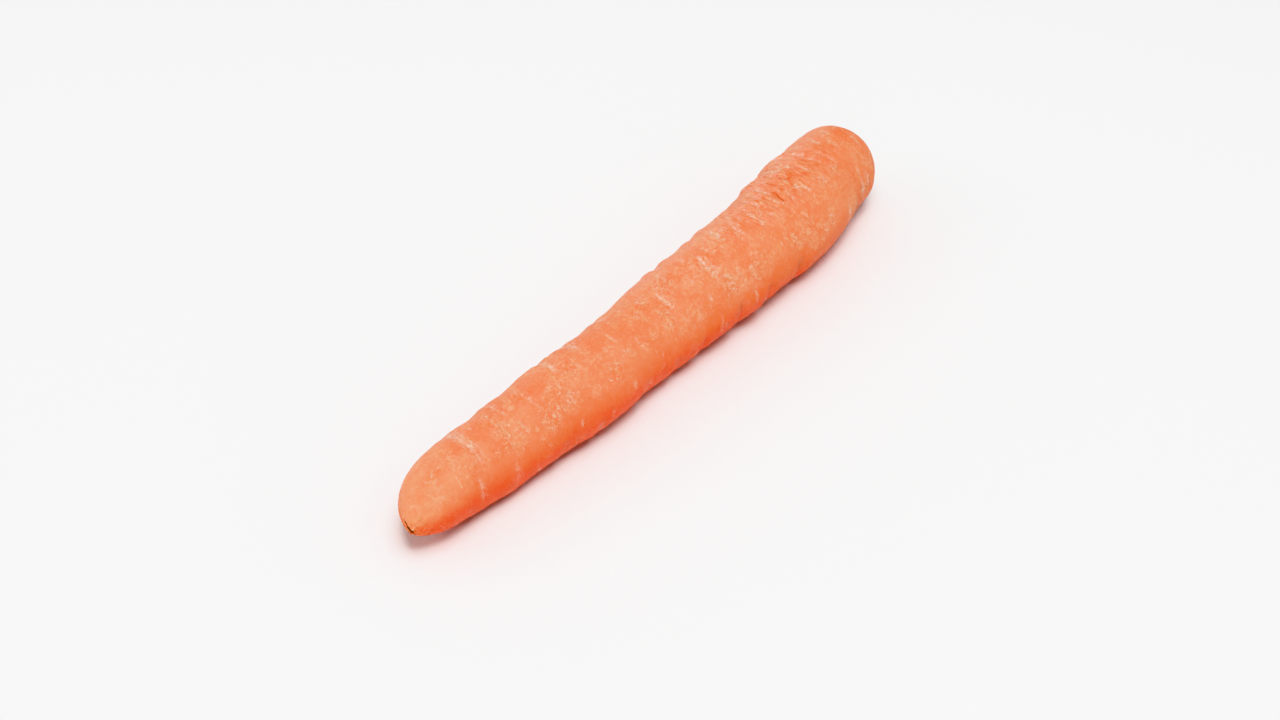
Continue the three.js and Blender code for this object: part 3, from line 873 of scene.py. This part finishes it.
def fibre_tree(sizes, material):
    tree, n, entry = shape_tree("Tail fibres", sizes)
    # One fibre: a thin cone, bent over more and more towards its tip
    hair = n.add("GeometryNodeMeshCone", 5, 5, 1, entry["Tip thickness"], entry["Thickness"],
                 entry["Length"])
    height = n.add("ShaderNodeSeparateXYZ", n.add("GeometryNodeInputPosition"), out=2)
    square = n.product(height, height)
    bend = n.add("ShaderNodeCombineXYZ", n.product(square, 0.55), n.product(square, -0.2))
    hair = n.add("GeometryNodeSetPosition", hair, None, None, bend)
    # The frame at the tip mirrors what stands in it, so the faces are turned beforehand
    hair = n.add("GeometryNodeFlipFaces", hair)

    # They stand round the pit, at unequal distances from it, tipped every way
    index = n.add("GeometryNodeInputIndex")
    turn = n.product(index, 2.4)
    x, y = n.circle(n.product(entry["Ring"], n.random(0.55, 1.15, 2)), turn)
    spot = n.add("ShaderNodeCombineXYZ", n.total(x, entry["Aside"]), n.total(y, entry["Up"]),
                 n.product(entry["Sunk"], -1.0))
    points = n.add("GeometryNodePoints", entry["Count"], spot)
    facing = n.add("ShaderNodeCombineXYZ", n.random(-0.7, 0.7, 4), n.random(-0.7, 0.7, 6), turn)
    scale = n.add("ShaderNodeCombineXYZ", 1.0, 1.0, n.random(0.8, 1.25, 8))
    hairs = n.add("GeometryNodeInstanceOnPoints", points, None, hair, None, None, facing, scale)
    finish_tree(n, n.add("GeometryNodeSetShadeSmooth", hairs), material)
    return tree


def dry_fibre():
    """Dry brown root fibre, darker in spots."""
    material, n = new_material("dry_fibre")
    spots = n.rise(n.noise(n.add("ShaderNodeTexCoord", out="Object"), 900.0, 2.0, 0.6, 1.0), 0.35, 0.65)
    brown = n.paint((0.20, 0.030, 0.008, 1), spots, (0.60, 0.17, 0.06, 1))
    n.surface({"Base Color": brown, "Roughness": 0.75})
    return material


fibre_start = bpy.data.meshes.new("fibre_start")
fibres = grown("tail_fibres", fibre_start, fibre_tree(fibre_sizes, dry_fibre()), fibre_sizes)
fibres.data.transform(end_frame(0, -1))
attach(fibres, "root")

# ------------------------------------------------------------------------------------------------
# Table, light and camera. A pale table stands under a broad, soft overhead light, with a weaker low
# light on the left and a faint one on the right. The camera looks down from the tip's side.

TABLE = 3.0
WHITENESS = 0.90
ROOM_LIGHT = 0.18
floor_mesh = bpy.data.meshes.new("floor")
floor_mesh.from_pydata([(-TABLE, -TABLE, 0), (TABLE, -TABLE, 0), (TABLE, TABLE, 0), (-TABLE, TABLE, 0)],
                       [], [(0, 1, 2, 3)])
floor = placed("floor", floor_mesh)
pale, n = new_material("pale_floor")
n.surface({"Base Color": (WHITENESS, WHITENESS, WHITENESS, 1), "Roughness": 0.7})
floor_mesh.materials.append(pale)

world = bpy.data.worlds.new("studio")
world.use_nodes = True
sky = world.node_tree.nodes["Background"].inputs
sky["Color"].default_value = (1, 1, 1, 1)
sky["Strength"].default_value = ROOM_LIGHT
bpy.context.scene.world = world


def soft_light(name, place, size, watts):
    """A square lamp that shines at the middle of the table."""
    light = bpy.data.lights.new(name, "AREA")
    light.shape = "SQUARE"
    light.size = size
    light.energy = watts
    lamp = placed(name, light)
    lamp.location = place
    lamp.rotation_euler = (-Vector(place)).to_track_quat("-Z", "Y").to_euler()


soft_light("overhead", place=(-0.14, -0.22, 0.90), size=0.50, watts=12.9)
soft_light("low_left", place=(-0.50, 0.62, 0.42), size=0.50, watts=3.0)
soft_light("low_right", place=(0.78, -0.55, 0.25), size=0.40, watts=0.5)

AZIMUTH, ELEVATION = math.radians(-50.53), math.radians(45.0)
TARGET = Vector((-12.02, -5.52, 14.0)) * MM
DISTANCE = 812.3 * MM
back = Vector((math.sin(AZIMUTH) * math.cos(ELEVATION), -math.cos(AZIMUTH) * math.cos(ELEVATION),
               math.sin(ELEVATION)))
camera_data = bpy.data.cameras.new("camera")
camera_data.lens = 85.0
camera_data.clip_start = 0.01
camera_data.clip_end = 20.0
camera = placed("camera", camera_data)
camera.location = TARGET + back * DISTANCE
camera.rotation_euler = back.to_track_quat("Z", "Y").to_euler()
bpy.context.scene.camera = camera
bpy.context.scene.view_settings.view_transform = "Khronos PBR Neutral"
